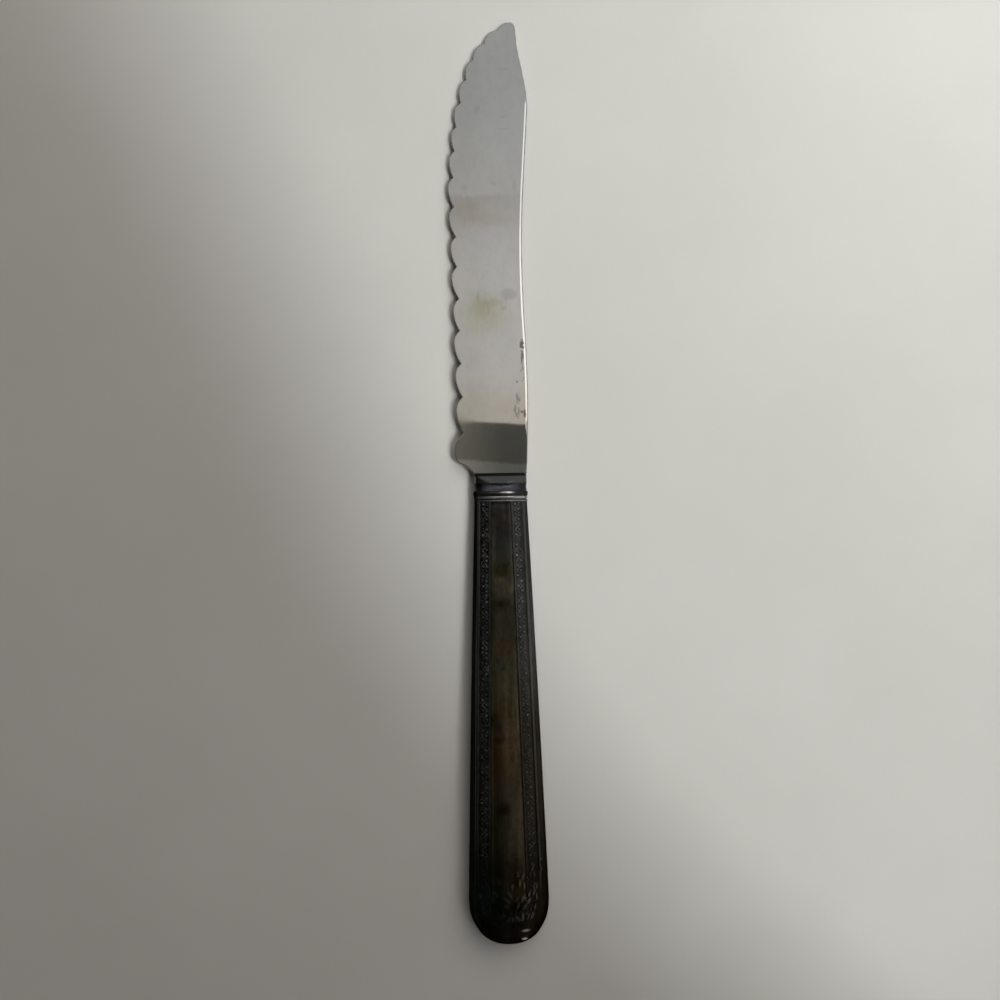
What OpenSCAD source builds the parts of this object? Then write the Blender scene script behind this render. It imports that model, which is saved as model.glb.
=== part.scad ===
// Cake knife with a scalloped sheet-steel blade and a hollow, two-shell handle.
// Y runs along the knife with the tip at +Y, X across the blade with the spine at +X,
// and Z up. The origin lies under the middle of the knife, at the level of the
// handle's underside.

/* [Blade] */
// Length of the blade from the bolster joint to the tip, mm
blade_len = 119.8; // [100:0.2:140]
// Thickness of the steel blank, mm
blade_t = 1.4; // [1.2:0.1:1.6]
// Depth of each scallop as a share of its own width
scallop_depth = 0.18; // [0.1:0.01:0.24]
// Length of the tang inside the handle, mm
tang_len = 68; // [40:1:90]
// Width of the tang, mm
tang_w = 8; // [6:0.5:9]
// Thickness of the tang, ground thinner than the blade, mm
tang_t = 1.2; // [0.8:0.1:1.2]

/* [Handle] */
// Length from the bolster joint to the end of the butt, mm
handle_len = 124.8; // [110:0.2:140]
// Width across the mouth of the shells, mm
mouth_w = 14; // [13.6:0.1:15]
// Width across the widest place near the butt, mm
butt_w = 21.3; // [18:0.1:24]
// Thickness at the mouth of the shells, mm
mouth_t = 7; // [6.8:0.1:9]
// Thickness at the thickest place near the butt, mm
butt_t = 12.4; // [11:0.1:14]
// Wall of the stamped shells, mm
wall = 0.8; // [0.5:0.1:0.9]
// Squareness of the handle's cross section: 2 is an ellipse
section_power = 2.1; // [2:0.1:3]
// Half of the flat panel down the middle of each face, degrees round the section
panel_flat = 12; // [8:1:16]
// Height of the bead round the mouth, mm
bead_h = 0.25; // [0:0.05:0.4]

/* [Joints] */
// Thickness of the solder line between the two shells, mm
seam_gap = 0.2; // [0.1:0.05:0.3]
// Solder all round the spigot and the tang, mm
solder_gap = 0.1; // [0.05:0.01:0.15]
// Thickness of the solder between the blade's root and the bolster, mm
joint_gap = 0.3; // [0.2:0.05:0.5]

/* [Hidden] */

steel = [0.64, 0.63, 0.60];
plate_dark = [0.12, 0.11, 0.10];
plate_grey = [0.27, 0.27, 0.27];
solder = [0.22, 0.22, 0.21];
cement = [0.45, 0.40, 0.33];

// The parts are drawn with y = 0 at the bolster joint and z = 0 on the middle plane
mid_y = (handle_len - blade_len) / 2;
mid_z = butt_t / 2;

// Spans on each half section, odd so that its flat panel is one of them, and points
// round each closed ring
half_n = 21;
ring_n = 40;

function lerp(a, b, t) = a + (b - a) * t;
function spow(v, p) = sign(v) * pow(abs(v), p);
// Share of the half thickness at the angle a round a section with a flat panel
function rise(a, power, flat) = sign(sin(a)) * min(1, pow(abs(sin(a)) / cos(flat), 2 / power));
// Angle of point k on a half section: the middle span is the flat panel
function arc_a(k) = let (h = (half_n - 1) / 2)
    k <= h ? (90 - panel_flat) * k / h : 180 - (90 - panel_flat) * (half_n - k) / h;

// Smooth curve through control points, steps points per span
function cr(a, b, c, d, t) =
    0.5 * (2 * b + (c - a) * t + (2 * a - 5 * b + 4 * c - d) * t * t
           + (3 * b - a - 3 * c + d) * t * t * t);
function smooth(p, steps) = [
    for (i = [0 : len(p) - 2], k = [0 : steps - 1])
        cr(p[max(i - 1, 0)], p[i], p[i + 1], p[min(i + 2, len(p) - 1)], k / steps)];

// Lobe from a to b that stands out to the right of the way from a to b: it rises
// fast to its crest, at the share peak of the way, and falls back slowly
function lobe_h(s, peak) = s < peak ? 1 - pow(1 - s / peak, 2.2) : 1 - pow((s - peak) / (1 - peak), 2);
function lobe(a, b, depth, peak, n) =
    let (u = (b - a) / norm(b - a), v = [u[1], -u[0]])
    [for (k = [0 : n - 1])
        lerp(a, b, k / n) + v * depth * norm(b - a) * lobe_h(k / n, peak)];

// ---- Blade outline, for a blade 120 mm long ----
// Spine from the root to the tip
spine_ctrl = [[7.1, 0], [7.5, 8], [7.8, 20], [7.6, 33], [7.1, 46], [7.0, 60], [7.5, 73],
              [8.4, 86], [9.0, 94.5], [9.2, 98], [9.0, 100.5], [8.6, 103.5], [7.9, 107.5],
              [7.1, 111.5], [6.7, 114], [6.5, 117], [6.2, 118.9], [5.6, 119.8], [4.6, 120]];
// Notches between the scallops from the tip to the root
notches = [[1.5, 118], [-2.0, 114.5], [-5.1, 110.2], [-7.0, 104.9], [-8.6, 98.8], [-9.9, 92.4],
           [-10.5, 86], [-11.0, 79], [-11.0, 71.2], [-10.6, 63.2], [-10.5, 55.2], [-10.1, 46.7],
           [-10.1, 38.2], [-9.9, 29.4], [-9.7, 20.5], [-9.6, 11]];
// Last, plain lobe and the choil that curves in to the root
choil_ctrl = [[-9.6, 11], [-10.7, 9.6], [-11.4, 8.7], [-11.8, 7.6], [-11.9, 5.6], [-11.8, 4.3],
              [-11.5, 3.7], [-10.7, 2.9], [-9.2, 2.2], [-8.2, 1.4], [-7.5, 0.7], [-7.1, 0]];
function stretch(p) = [for (q = p) [q[0], q[1] * blade_len / 120]];
last = len(notches) - 2;
blade_edge = concat(
    smooth(spine_ctrl, 4),
    lobe([4.6, 120], notches[0], 0.13, 0.45, 6),
    [for (i = [0 : last])
        each lobe(notches[i], notches[i + 1], scallop_depth, lerp(0.5, 0.36, min(1, i / 4)), 10)],
    smooth(choil_ctrl, 3));
blade_outline = concat(stretch(blade_edge), [[-7.1, 0]]);

// ---- Handle: half width and half thickness by place ----
mouth_y = -4.6;                  // shells start at the groove above the bead
body_y = -8.1;                   // plain body starts below the collar
round_len = 12.6;                // length of the rounded butt
round_y = -handle_len + round_len;
round_power = 2.3;

function body_s(y) = min(1, max(0, (body_y - y) / (body_y - round_y)));
function swell(a, b, s, k) = lerp(a, b, s) + k * s * (1 - s);
// Offset of the bead, fillet and grooves round the mouth
function bead(y, top, len) = abs(y - top + len / 2) >= len / 2 ? 0
    : sqrt(1 - pow((y - top + len / 2) / (len / 2), 2));
function collar(y) = bead_h * bead(y, mouth_y, 1.3) - (y > mouth_y - 0.1 ? bead_h : 0)
    - 0.12 * bead(y, -6.6, 0.5);
function half_w(y, t) = swell(mouth_w, butt_w, body_s(y), 1.2) / 2 * pow(1 - pow(t, round_power), 1 / round_power);
function half_t(y, t) = swell(mouth_t, butt_t, body_s(y), -0.2) / 2 * pow(1 - pow(t, round_power), 1 / round_power);

// Stations: [y, t, end], with t from 0 at the start of the rounded butt to 1 at its end
collar_ys = [mouth_y, -4.75, -5.0, -5.25, -5.5, -5.75, -5.9, -6.55, -6.75, -6.85, -7.05, -7.35];
body_n = 9;
round_n = 11;
stations = concat(
    [for (y = collar_ys) [y, 0, 0]],
    [for (k = [0 : body_n]) [lerp(body_y, round_y, k / body_n), 0, 0]],
    [for (k = [1 : round_n]) [round_y, sin(90 * k / (round_n + 0.6)), 0]],
    [[round_y, 1, 1]]);

// One half section, from +X over the top to -X, at a station, inset by w
function st_y(s, w) = s[0] - s[1] * (round_len - w);
function st_w(s, w) = s[2] > 0 ? st_w(stations[len(stations) - 2], w) * 0.7
    : (half_w(s[0], s[1]) + (w > 0 ? 0 : collar(s[0]))) * (w > 0 ? 1 - w / half_w(s[0], 0) : 1);
function st_t(s, w) = s[2] > 0 ? seam_gap / 2
    : (half_t(s[0], s[1]) + (w > 0 ? 0 : collar(s[0]))) * (w > 0 ? 1 - w / half_t(s[0], 0) : 1);
function half_arc(s, w) = [
    for (k = [0 : half_n])
        let (a = arc_a(k),
             z = seam_gap / 2 + (st_t(s, w) - seam_gap / 2) * rise(a, section_power, panel_flat))
        [st_w(s, w) * spow(cos(a), 2 / section_power), st_y(s, w), z]];

// Faces of a strip of quads between rows of n points each, closed or open round
function strip(rows, n, first, flip) = [
    for (i = [0 : rows - 2], k = [0 : n - 1], h = [0, 1])
        let (a = first + i * n + k, b = first + i * n + (k + 1) % n,
             c = a + n, d = b + n)
        flip ? (h == 0 ? [a, c, b] : [b, c, d]) : (h == 0 ? [a, b, c] : [b, d, c])];

module half_shell() {
    n = 2 * (half_n + 1);
    m = len(stations);
    pts = [for (s = stations)
        each concat(half_arc(s, 0), [for (k = [half_n : -1 : 0]) half_arc(s, wall)[k]])];
    rim = [for (i = [0, m - 1], k = [0 : half_n - 1], h = [0, 1])
        let (a = i * n + k, b = a + 1, c = i * n + n - 1 - k, d = c - 1)
        i == 0 ? (h == 0 ? [a, c, b] : [b, c, d]) : (h == 0 ? [a, b, c] : [b, d, c])];
    polyhedron(points = pts, faces = concat(strip(m, n, 0, false), rim), convexity = 6);
}

// Closed rings
function oval(y, w, t, cap, power = section_power, flat = panel_flat) = [
    for (k = [0 : ring_n - 1])
        let (a = 360 * k / ring_n, z = t * rise(a, power, flat))
        [w * spow(cos(a), 2 / power), y, min(cap, max(-cap, z))]];
// Rectangle w by t, half sizes, with ring_n points and its corners among them
function rect(y, w, t) = [
    for (k = [0 : ring_n - 1])
        let (q = ring_n / 8, j = (k + q) % ring_n, side = floor(j / (2 * q)), f = (j % (2 * q)) / (2 * q))
        side == 0 ? [w, y, lerp(-t, t, f)] : side == 1 ? [lerp(w, -w, f), y, t]
        : side == 2 ? [-w, y, lerp(t, -t, f)] : [lerp(-w, w, f), y, -t]];

// Solid between outer rings and inner rings, with flat ends
module sleeve(outer, inner) {
    n = ring_n;
    mo = len(outer);
    mi = len(inner);
    first = mo * n;
    ends = [for (i = [0, 1], k = [0 : n - 1], h = [0, 1])
        let (a = i * (mo - 1) * n + k, b = i * (mo - 1) * n + (k + 1) % n,
             c = first + i * (mi - 1) * n + k, d = first + i * (mi - 1) * n + (k + 1) % n)
        i == 0 ? (h == 0 ? [a, c, b] : [b, c, d]) : (h == 0 ? [a, b, c] : [b, d, c])];
    polyhedron(points = [for (r = concat(outer, inner)) each r],
               faces = concat(strip(mo, n, 0, false), strip(mi, n, first, true), ends),
               convexity = 6);
}

// ---- Bolster ----
front_y = -joint_gap;            // face that the blade's root is soldered to
lip = blade_t / 2 + 0.35;        // half height of that face
shoulder_len = 2.2;              // length of the sloped shoulder
neck_power = 1.8;                // rounder than the handle's section
neck_w = 7.0;                    // half width of the neck
neck_t = mouth_t / 2 - 0.5;      // half thickness at the shoulder's edge
waist = 0.45;                    // depth of the hollow of the neck
spigot_y = -8.6;                 // end of the spigot inside the shells
slot_w = tang_w / 2 + solder_gap;
slot_t = tang_t / 2 + solder_gap;
function in_w(y) = half_w(y, 0) - wall;
function in_t(y) = half_t(y, 0) - wall;
function neck_at(f) = neck_t + 0.35 * f - waist * sin(180 * f);
bolster_rings = concat(
    [for (k = [0 : 6]) let (y = front_y - shoulder_len * k / 6)
        oval(y, neck_w, neck_t, lerp(lip, neck_t, k / 6), neck_power, 0)],
    [for (k = [1 : 6]) let (f = k / 6)
        oval(lerp(front_y - shoulder_len, mouth_y, f), neck_w - 0.12 * sin(180 * f), neck_at(f), 9,
             lerp(neck_power, section_power, f), panel_flat * f)],
    [for (y = [mouth_y, -6, spigot_y]) oval(y, in_w(y) - solder_gap, in_t(y) - solder_gap, 9)]);

module place() { translate([0, mid_y, mid_z]) children(); }

module blade() {
    color(steel) place() {
        translate([0, 0, -blade_t / 2]) linear_extrude(blade_t) polygon(blade_outline);
        translate([-tang_w / 2, -tang_len, -tang_t / 2]) cube([tang_w, tang_len + 1, tang_t]);
    }
}

module bolster() {
    color(plate_grey) place()
        sleeve(bolster_rings, [rect(front_y, slot_w, slot_t), rect(spigot_y, slot_w, slot_t)]);
}

module handle_front_shell() {
    color(plate_dark) place() half_shell();
}

module handle_back_shell() {
    color(plate_dark) place() rotate([0, 180, 0]) half_shell();
}

module seam_solder() {
    out = [for (s = stations) [st_w(s, 0), st_y(s, 0)]];
    inn = [for (s = stations) [st_w(s, wall), st_y(s, wall)]];
    n = len(stations);
    color(solder) place()
        translate([0, 0, -seam_gap / 2]) linear_extrude(seam_gap)
            polygon(concat(out,
                           [for (k = [n - 1 : -1 : 0]) [-out[k][0], out[k][1]]],
                           [for (p = inn) [-p[0], p[1]]],
                           [for (k = [n - 1 : -1 : 0]) inn[k]]));
}

module mouth_solder() {
    ys = [mouth_y, -6, spigot_y];
    color(solder) place()
        sleeve([for (y = ys) oval(y, in_w(y) - 0.03, in_t(y) - 0.03, 9)],
               [for (y = ys) oval(y, in_w(y) - solder_gap, in_t(y) - solder_gap, 9)]);
}

module tang_solder() {
    color(solder) place() difference() {
        union() {
            translate([-6.4, front_y, -lip + 0.1]) cube([12.8, joint_gap, 2 * lip - 0.2]);
            translate([-slot_w, spigot_y, -slot_t]) cube([2 * slot_w, front_y - spigot_y + joint_gap / 2, 2 * slot_t]);
        }
        translate([-tang_w / 2, spigot_y - 1, -tang_t / 2]) cube([tang_w, 20, tang_t]);
    }
}

module tang_cement() {
    y0 = spigot_y;
    y1 = -tang_len + 2;
    ys = [for (k = [0 : 4]) lerp(y0, y1, k / 4)];
    color(cement) place()
        sleeve([for (y = ys) oval(y, in_w(y) - 0.07, in_t(y) - 0.07, 9)],
               [rect(y0, tang_w / 2, tang_t / 2), rect(y1, tang_w / 2, tang_t / 2)]);
}

blade();
bolster();
handle_front_shell();
handle_back_shell();
seam_solder();
mouth_solder();
tang_solder();
tang_cement();
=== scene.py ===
import math

import bpy
import numpy as np
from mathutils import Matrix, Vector
from mathutils.geometry import delaunay_2d_cdt


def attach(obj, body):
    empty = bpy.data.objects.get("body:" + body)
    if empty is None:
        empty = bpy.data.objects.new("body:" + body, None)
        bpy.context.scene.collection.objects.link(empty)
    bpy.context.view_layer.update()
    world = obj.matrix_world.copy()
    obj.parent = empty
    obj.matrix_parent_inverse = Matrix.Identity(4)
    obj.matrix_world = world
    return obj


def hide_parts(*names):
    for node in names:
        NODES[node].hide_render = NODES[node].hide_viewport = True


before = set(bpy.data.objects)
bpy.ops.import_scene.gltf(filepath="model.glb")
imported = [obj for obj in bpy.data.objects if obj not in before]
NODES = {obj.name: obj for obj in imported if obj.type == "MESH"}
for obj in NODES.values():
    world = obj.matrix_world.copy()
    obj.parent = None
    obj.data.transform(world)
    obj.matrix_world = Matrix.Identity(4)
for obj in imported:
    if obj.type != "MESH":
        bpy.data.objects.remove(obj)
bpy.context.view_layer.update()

# Millimetres below; meshes are made in metres. The joint of blade and bolster is y = 0 in
# the local numbers, and z = 0 is the middle plane, as in the CAD model.
MM = 0.001
HANDLE_LEN, BLADE_LEN = 124.8, 119.8
MID_Y = (HANDLE_LEN - BLADE_LEN) / 2
MID_Z = 6.2


# ------------------------------------------------------------------ meshes
def make(name, verts, faces, mats, stands_for, sharp=None, smooth=True, attrs=None):
    """A mesh piece from millimetre points in the local numbers."""
    me = bpy.data.meshes.new(name)
    v = np.asarray(verts, float).copy()
    v[:, 1] += MID_Y
    v[:, 2] += MID_Z
    me.from_pydata((v * MM).tolist(), [], faces)
    me.validate()
    if smooth:
        me.polygons.foreach_set("use_smooth", [True] * len(me.polygons))
    for key, values in (attrs or {}).items():
        a = me.attributes.new(key, "FLOAT", "POINT")
        a.data.foreach_set("value", np.asarray(values, np.float32))
    me.update()
    ob = bpy.data.objects.new(name, me)
    bpy.context.scene.collection.objects.link(ob)
    if sharp is not None:
        me.set_sharp_from_angle(angle=math.radians(sharp))
    for m in mats:
        me.materials.append(m)
    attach(ob, "root")
    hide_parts(stands_for)
    return ob


def smoothstep(a, b, x):
    t = np.clip((x - a) / (b - a), 0, 1)
    return t * t * (3 - 2 * t)


def catmull(ctrl, steps):
    p = np.asarray(ctrl, float)
    out = []
    for i in range(len(p) - 1):
        a, b, c, d = p[max(i - 1, 0)], p[i], p[i + 1], p[min(i + 2, len(p) - 1)]
        for k in range(steps):
            t = k / steps
            out.append(0.5 * (2 * b + (c - a) * t + (2 * a - 5 * b + 4 * c - d) * t * t
                              + (3 * b - a - 3 * c + d) * t ** 3))
    return out


def lobe(a, b, depth, peak, n):
    a, b = np.asarray(a, float), np.asarray(b, float)
    c = np.linalg.norm(b - a)
    u = (b - a) / c
    v = np.array([u[1], -u[0]])
    out = []
    for k in range(n):
        s = k / n
        h = 1 - (1 - s / peak) ** 2.2 if s < peak else 1 - ((s - peak) / (1 - peak)) ** 2
        out.append(a + (b - a) * s + v * depth * c * h)
    return out


# ------------------------------------------------------------------ node helpers
class Tree:
    def __init__(self, name):
        self.mat = bpy.data.materials.new(name)
        self.mat.use_nodes = True
        self.t = self.mat.node_tree
        self.t.nodes.clear()
        self.out = self.t.nodes.new("ShaderNodeOutputMaterial")
        self.co = self.t.nodes.new("ShaderNodeTexCoord").outputs["Object"]

    def link(self, a, b):
        self.t.links.new(a, b)

    def put(self, socket, value):
        if hasattr(value, "is_linked"):
            self.t.links.new(value, socket)
        else:
            socket.default_value = value

    def math(self, op, a, b=None, c=None, clamp=False):
        n = self.t.nodes.new("ShaderNodeMath")
        n.operation = op
        n.use_clamp = clamp
        for i, v in enumerate((a, b, c)):
            if v is not None:
                self.put(n.inputs[i], v)
        return n.outputs[0]

    def scaled(self, scale, shift=(0, 0, 0), rot=(0, 0, 0)):
        n = self.t.nodes.new("ShaderNodeMapping")
        self.link(self.co, n.inputs["Vector"])
        n.inputs["Scale"].default_value = scale
        n.inputs["Location"].default_value = shift
        n.inputs["Rotation"].default_value = rot
        return n.outputs[0]

    def noise(self, scale, detail=3.0, rough=0.55, vec=None, distortion=0.0):
        n = self.t.nodes.new("ShaderNodeTexNoise")
        self.link(vec if vec is not None else self.co, n.inputs["Vector"])
        n.inputs["Scale"].default_value = scale
        n.inputs["Detail"].default_value = detail
        n.inputs["Roughness"].default_value = rough
        n.inputs["Distortion"].default_value = distortion
        return n.outputs["Fac"]

    def voronoi(self, scale, vec=None, feature="F1", rand=1.0):
        n = self.t.nodes.new("ShaderNodeTexVoronoi")
        n.feature = feature
        self.link(vec if vec is not None else self.co, n.inputs["Vector"])
        n.inputs["Scale"].default_value = scale
        n.inputs["Randomness"].default_value = rand
        return n.outputs["Distance"]

    def step(self, x, a, b, lo=0.0, hi=1.0):
        n = self.t.nodes.new("ShaderNodeMapRange")
        n.interpolation_type = "SMOOTHSTEP"
        self.put(n.inputs["Value"], x)
        n.inputs["From Min"].default_value = a
        n.inputs["From Max"].default_value = b
        n.inputs["To Min"].default_value = lo
        n.inputs["To Max"].default_value = hi
        return n.outputs["Result"]

    def ramp(self, x, stops):
        n = self.t.nodes.new("ShaderNodeValToRGB")
        self.link(x, n.inputs["Fac"])
        el = n.color_ramp.elements
        while len(el) > 1:
            el.remove(el[-1])
        el[0].position, el[0].color = stops[0][0], (*stops[0][1], 1)
        for pos, col in stops[1:]:
            e = el.new(pos)
            e.color = (*col, 1)
        return n.outputs["Color"]

    def mix(self, fac, a, b, mode="MIX"):
        n = self.t.nodes.new("ShaderNodeMix")
        n.data_type = "RGBA"
        n.blend_type = mode
        self.put(n.inputs["Factor"], fac)
        self.put(n.inputs[6], a if hasattr(a, "is_linked") else (*a, 1))
        self.put(n.inputs[7], b if hasattr(b, "is_linked") else (*b, 1))
        return n.outputs[2]

    def window(self, x, a0, a1, b0, b1):
        """1 between a1 and b0, 0 outside a0 and b1."""
        return self.math("MULTIPLY", self.step(x, a0, a1), self.step(x, b1, b0))

    def patch(self, x, y, x0, y0, rx, ry, rag, soft=0.5, amount=0.9):
        """A ragged oval patch; rag is a noise that frays its edge."""
        dx = self.math("MULTIPLY", self.math("SUBTRACT", x, x0), 1 / rx)
        dy = self.math("MULTIPLY", self.math("SUBTRACT", y, y0), 1 / ry)
        d = self.math("SQRT", self.math("ADD", self.math("MULTIPLY", dx, dx), self.math("MULTIPLY", dy, dy)))
        d = self.math("ADD", d, self.math("MULTIPLY", self.math("SUBTRACT", rag, 0.5), amount))
        return self.step(d, 1.0 + soft, 1.0 - soft)

    def axis(self):
        n = self.t.nodes.new("ShaderNodeSeparateXYZ")
        self.link(self.co, n.inputs[0])
        return n.outputs

    def attr(self, name):
        n = self.t.nodes.new("ShaderNodeAttribute")
        n.attribute_name = name
        return n.outputs["Fac"]

    def bump(self, height, strength, distance):
        n = self.t.nodes.new("ShaderNodeBump")
        self.link(height, n.inputs["Height"])
        n.inputs["Strength"].default_value = strength
        n.inputs["Distance"].default_value = distance
        return n.outputs[0]

    def surface(self, color, rough, metallic, normal=None, **fixed):
        b = self.t.nodes.new("ShaderNodeBsdfPrincipled")
        self.put(b.inputs["Base Color"], color)
        self.put(b.inputs["Roughness"], rough)
        self.put(b.inputs["Metallic"], metallic)
        if normal is not None:
            self.link(normal, b.inputs["Normal"])
        for k, v in fixed.items():
            b.inputs[k.replace("_", " ")].default_value = v
        self.link(b.outputs[0], self.out.inputs["Surface"])
        return self.mat


# ------------------------------------------------------------------ materials
def blade_material():
    m = Tree("blade_steel")
    x, y, z = m.axis()
    # Haze of age and finger marks
    broad = m.noise(45, 3, 0.55, m.scaled((1, 0.6, 1)))
    fine = m.noise(1100, 3, 0.6)
    lines = m.noise(2400, 2, 0.5, m.scaled((1, 0.025, 1)))      # polishing lines along the blade
    rag = m.noise(420, 5, 0.65)
    color = m.ramp(broad, [(0.30, (0.492, 0.480, 0.452)), (0.50, (0.532, 0.517, 0.487)), (0.70, (0.566, 0.548, 0.514))])
    # the colour is darker and cooler towards the tip, warmer and a little darker at the root, and a little darker
    # towards the scallops
    color = m.mix(m.step(y, 0.042, 0.118), color, (0.700, 0.724, 0.748), "MULTIPLY")
    color = m.mix(m.step(y, 0.034, 0.014), color, (1.02, 0.985, 0.935), "MULTIPLY")
    color = m.mix(m.step(y, 0.030, 0.018), color, (0.955, 0.935, 0.900), "MULTIPLY")
    color = m.mix(m.step(x, 0.0005, -0.0085), color, (0.945, 0.940, 0.930), "MULTIPLY")

    warp = m.noise(260, 4, 0.6, m.scaled((1, 0.7, 1), (0.15, 0.4, 0)))
    upright = m.noise(1300, 3, 0.6, m.scaled((1, 0.10, 1), (0.7, 0.2, 0)))
    fray_ = m.math("ADD", m.math("MULTIPLY", warp, 0.55), m.math("MULTIPLY", upright, 0.45))

    def stain(col, x0, y0, rx, ry, tint, amount, soft=0.65, fray=2.6):
        k = m.patch(x, y, x0 * MM, y0 * MM, rx * MM, ry * MM, fray_, soft, fray)
        return m.mix(m.math("MULTIPLY", k, amount), col, tint, "MULTIPLY")

    # A brown tide mark: a soft edge across the blade, fading towards the handle
    rise = m.math("ADD", y, m.math("MULTIPLY", m.math("SUBTRACT", fray_, 0.5), 0.0035))
    tide = m.math("MULTIPLY", m.step(rise, 0.0772, 0.0757), m.step(rise, 0.0625, 0.0745))
    color = m.mix(m.math("MULTIPLY", tide, m.step(x, 0.0085, -0.0060, 0.40, 0.95)), color, (0.895, 0.862, 0.832), "MULTIPLY")
    color = stain(color, -7.8, 72.6, 3.4, 3.0, (0.90, 0.865, 0.81), 0.75)
    color = stain(color, -2.0, 70.0, 5.0, 1.6, (0.93, 0.90, 0.86), 0.70)
    # Grey block and olive cloud in the middle
    color = stain(color, 3.3, 50.1, 2.3, 1.5, (0.80, 0.80, 0.80), 0.85, 0.35, 1.2)
    color = stain(color, -4.0, 45.2, 5.2, 5.0, (0.90, 0.89, 0.80), 0.90, 0.7, 1.8)
    color = stain(color, -4.2, 46.4, 2.2, 2.6, (0.88, 0.86, 0.75), 0.80)
    color = stain(color, -4.9, 49.6, 0.35, 1.5, (0.76, 0.74, 0.69), 0.70, 0.8, 1.2)
    color = stain(color, -2.2, 46.6, 0.30, 1.6, (0.82, 0.80, 0.72), 0.60, 0.8, 1.2)
    color = stain(color, -0.7, 48.0, 2.6, 0.9, (0.87, 0.84, 0.75), 0.80)
    color = stain(color, 1.9, 46.4, 0.6, 0.6, (0.80, 0.76, 0.68), 0.65)
    color = stain(color, 1.6, 43.0, 3.0, 3.0, (0.96, 0.95, 0.90), 0.70)
    # Small smears
    for x0, y0, rx, ry, amount in ((-4.3, 99.6, 0.8, 1.3, 0.50), (-0.2, 79.7, 0.9, 0.7, 0.50), (5.4, 78.7, 0.5, 1.5, 0.45),
                                   (-7.9, 78.5, 0.9, 0.7, 0.40), (2.9, 94.0, 1.2, 0.24, 0.55), (3.0, 109.8, 1.6, 0.22, 0.45),
                                   (-2.4, 98.6, 0.9, 0.20, 0.35), (2.6, 97.2, 0.6, 0.35, 0.40), (-3.2, 14.5, 1.2, 0.5, 0.35),
                                   (-6.0, 24.0, 2.6, 3.2, 0.25), (1.5, 20.5, 2.4, 2.0, 0.25), (-6.5, 33.0, 2.4, 2.6, 0.22)):
        color = stain(color, x0, y0, rx, ry, (0.83, 0.82, 0.80), amount)
    # Pits and rust beside the spine, in the lower half of the blade
    across = m.noise(900, 3, 0.6, m.scaled((0.6, 1.2, 1)))
    along = m.noise(1000, 3, 0.6, m.scaled((1.3, 0.40, 1), (0.3, 0, 0)))

    def pitted(dots, x0, y0, rx, ry, level, amount=1.0):
        k = m.patch(x, y, x0 * MM, y0 * MM, rx * MM, ry * MM, rag, 0.30, 0.5)
        return m.math("MULTIPLY", m.math("MULTIPLY", m.step(dots, level, level + 0.07), k), amount)

    marks = pitted(across, 6.52, 36.4, 0.62, 1.7, 0.40)
    for args in ((along, 6.50, 33.2, 0.42, 1.8, 0.42, 0.85), (along, 6.45, 29.0, 0.50, 2.0, 0.47, 0.6), (along, 5.16, 22.5, 0.60, 1.8, 0.48, 0.55),
                 (along, 4.70, 18.8, 0.85, 2.1, 0.47, 0.55), (across, 5.0, 26.8, 0.32, 0.30, 0.2, 0.6), (across, 6.15, 18.8, 0.42, 0.34, 0.3, 0.8),
                 (along, 6.90, 18.3, 0.32, 1.1, 0.30, 1.0), (across, -10.1, 103.2, 0.5, 0.5, 0.35, 0.8)):
        marks = m.math("MAXIMUM", marks, pitted(*args))
    specks = m.step(m.noise(760, 2, 0.5, m.scaled((1, 0.8, 1), (0.4, 0.9, 0))), 0.735, 0.79)
    marks = m.math("MAXIMUM", marks, m.math("MULTIPLY", specks, 0.22))
    color = m.mix(m.math("MULTIPLY", marks, 0.80), color, (0.085, 0.072, 0.062))
    # faint cloudiness of old steel
    color = m.mix(m.step(m.noise(620, 4, 0.7, m.scaled((1, 0.55, 1))), 0.42, 0.66, 0.0, 0.55), color, (0.93, 0.925, 0.92), "MULTIPLY")
    # black tarnish against the bolster, with painted shade in the corner there
    color = m.mix(m.step(y, 0.00276, 0.00252), color, (0.012, 0.012, 0.011))
    # Duller towards the scallops and at the root, where the polishing wheel didn't reach; at the root the colour is
    # also painted paler, a painted lighter reflection
    root = m.step(y, 0.0062, 0.0026)
    edge = m.step(x, -0.0062, -0.0108)
    # mask of the paler strip at the root: a painted lighter reflection
    brink = m.math("ADD", m.math("ADD", y, m.math("MULTIPLY", x, 0.085)), m.math("MULTIPLY", m.math("SUBTRACT", fray_, 0.5), 0.0022))
    color = m.mix(m.step(brink, 0.0060, 0.0050), color, (1.72, 1.74, 1.75), "MULTIPLY")
    rough = m.math("ADD", m.step(lines, 0.3, 0.7, 0.024, 0.034), m.step(fine, 0.4, 0.8, 0.0, 0.010))
    rough = m.math("ADD", rough, m.math("MULTIPLY", root, 0.040))
    rough = m.math("ADD", rough, m.math("MULTIPLY", edge, 0.040))
    height = m.math("ADD", m.math("MULTIPLY", lines, 0.02), m.noise(42, 2, 0.5))
    return m.surface(color, rough, 1.0, m.bump(height, 0.12, 0.00012))


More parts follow.
